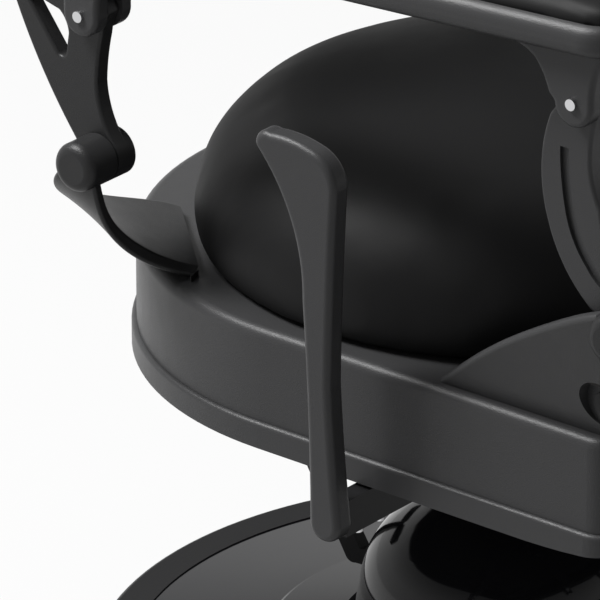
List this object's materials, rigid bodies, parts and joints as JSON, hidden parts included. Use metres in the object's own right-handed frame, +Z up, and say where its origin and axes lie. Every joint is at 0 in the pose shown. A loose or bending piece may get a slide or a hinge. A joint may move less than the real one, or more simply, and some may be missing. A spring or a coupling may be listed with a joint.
{
  "type": "barber chair",
  "caption": "Vintage black barber chair: round base with foot pump, swivel seat in a deep apron, reclining back, linked armrests and leg rest",
  "frame": {"origin": "centre of the round base on the floor, on the pump and swivel axis", "axes": "+Z up, the chair faces -Y, the sitter's right hand is on the -X side"},
  "size_m": [0.666, 0.8734, 1.1658],
  "materials": {
    "black_coat": "satin black powder coat with a fine grain",
    "gloss_black": "gloss black enamel",
    "black_leather": "smooth black upholstery leather",
    "plain_steel": "plain machined steel",
    "bright_chrome": "polished hard chrome",
    "frame_paint": "plain matt black paint",
    "bronze": "bearing bronze",
    "black_board": "plywood painted black",
    "black_rubber": "matt black rubber",
    "black_plastic": "moulded black plastic"
  },
  "bodies": {
    "base": {"base_plate": "gloss_black", "base_rim": "black_coat", "pump_cylinder": "frame_paint", "pump_bolts": "plain_steel", "gland_ring": "frame_paint", "pump_cover": "gloss_black", "pedal_bracket": "frame_paint", "pedal_pin": "plain_steel"},
    "pedal": {"pedal_arm": "black_coat", "pedal_treads": "black_rubber"},
    "lift": {"lift_piston": "bright_chrome", "swivel_washer": "bronze"},
    "seat": {"seat_mount_plate": "frame_paint", "seat_cross_tubes": "frame_paint", "seat_rails": "frame_paint", "seat_board": "black_board", "seat_apron": "black_coat", "seat_cushion": "black_leather", "rear_bracket_right": "black_coat", "rear_bracket_left": "black_coat", "front_bracket_right": "black_coat", "front_bracket_left": "black_coat", "pivot_pins": "plain_steel", "boss_caps": "black_coat", "bracket_bolts": "black_coat", "lever_bearing": "frame_paint", "gas_anchor_clevis": "frame_paint", "gas_anchor_pin": "plain_steel"},
    "lever": {"hand_lever": "black_coat", "lever_bar": "black_coat", "lever_screws": "plain_steel"},
    "back": {"back_casting_right": "black_coat", "back_casting_left": "black_coat", "back_board": "black_board", "back_cushion": "black_leather", "back_crossbar": "black_coat", "headrest_socket": "black_coat", "headrest_knob": "black_plastic"},
    "headrest_slide": {"headrest_post": "plain_steel", "headrest_pin": "plain_steel"},
    "headrest": {"headrest_yoke": "black_coat", "headrest_pad": "black_leather"},
    "arm_right": {"armrest_right": "black_coat", "arm_pad_right": "black_leather", "armrest_pins_right": "plain_steel"},
    "arm_left": {"armrest_left": "black_coat", "arm_pad_left": "black_leather", "armrest_pins_left": "plain_steel"},
    "leg_rest": {"front_strut_right": "black_coat", "front_strut_left": "black_coat", "leg_arm_right": "black_coat", "leg_arm_left": "black_coat", "leg_cross_tube": "black_coat", "calf_board": "black_board", "calf_pad": "black_leather", "footplate_rod": "plain_steel"},
    "foot": {"footplate": "black_coat", "footplate_ribs": "black_rubber"},
    "gas_tube": {"gas_cylinder": "frame_paint"},
    "gas_piston": {"gas_rod": "bright_chrome"}
  },
  "joints": [
    {"name": "pedal_press", "type": "hinge", "parent": "base", "child": "pedal", "pos_m": [0, 0.1, 0.062], "axis": [-1, 0, 0], "range_deg": [0, 16], "stiffness_Nm_per_rad": 6, "springref_deg": -28.65},
    {"name": "seat_lift", "type": "slide", "parent": "base", "child": "lift", "axis": [0, 0, 1], "range_m": [0, 0.15]},
    {"name": "seat_swivel", "type": "hinge", "parent": "lift", "child": "seat", "pos_m": [0, 0, 0.306], "axis": [0, 0, 1], "continuous": true},
    {"name": "back_recline", "type": "hinge", "parent": "seat", "child": "back", "pos_m": [0, 0.1875, 0.49], "axis": [-1, 0, 0], "range_deg": [0, 30]},
    {"name": "arm_right_link", "type": "hinge", "parent": "back", "child": "arm_right", "pos_m": [0, 0.1939, 0.6097], "axis": [-1, 0, 0], "range_deg": [-32, 0]},
    {"name": "arm_left_link", "type": "hinge", "parent": "back", "child": "arm_left", "pos_m": [0, 0.1939, 0.6097], "axis": [-1, 0, 0], "range_deg": [-32, 0]},
    {"name": "leg_link", "type": "hinge", "parent": "seat", "child": "leg_rest", "pos_m": [0, -0.327, 0.49], "axis": [-1, 0, 0], "range_deg": [0, 21.5]},
    {"name": "foot_fold", "type": "hinge", "parent": "leg_rest", "child": "foot", "pos_m": [0, -0.327, 0.13], "axis": [-1, 0, 0], "range_deg": [0, 85]},
    {"name": "lever_pull", "type": "hinge", "parent": "seat", "child": "lever", "pos_m": [0, -0.068, 0.267], "axis": [-1, 0, 0], "range_deg": [0, 18], "stiffness_Nm_per_rad": 12, "springref_deg": -17.19},
    {"name": "headrest_height", "type": "slide", "parent": "back", "child": "headrest_slide", "axis": [0, 0.1392, 0.9903], "range_m": [0, 0.08]},
    {"name": "headrest_tilt", "type": "hinge", "parent": "headrest_slide", "child": "headrest", "pos_m": [0, 0.35155, 1.05957], "axis": [-1, 0, 0], "range_deg": [-15, 15]},
    {"name": "gas_swing", "type": "hinge", "parent": "seat", "child": "gas_tube", "pos_m": [0, -0.1, 0.262], "axis": [-1, 0, 0], "range_deg": [0, 2.5]},
    {"name": "gas_stroke", "type": "slide", "parent": "gas_tube", "child": "gas_piston", "axis": [0, -1, 0], "range_m": [0, 0.085]}
  ],
  "couplings": [
    {"joint": "arm_right_link", "follows": "back_recline", "ratio": -1.043},
    {"joint": "arm_left_link", "follows": "back_recline", "ratio": -1.043},
    {"joint": "leg_link", "follows": "back_recline", "ratio": 0.7035},
    {"joint": "gas_swing", "follows": "back_recline", "ratio": 0.067},
    {"joint": "gas_stroke", "follows": "back_recline", "m_per_rad": 0.158}
  ]
}
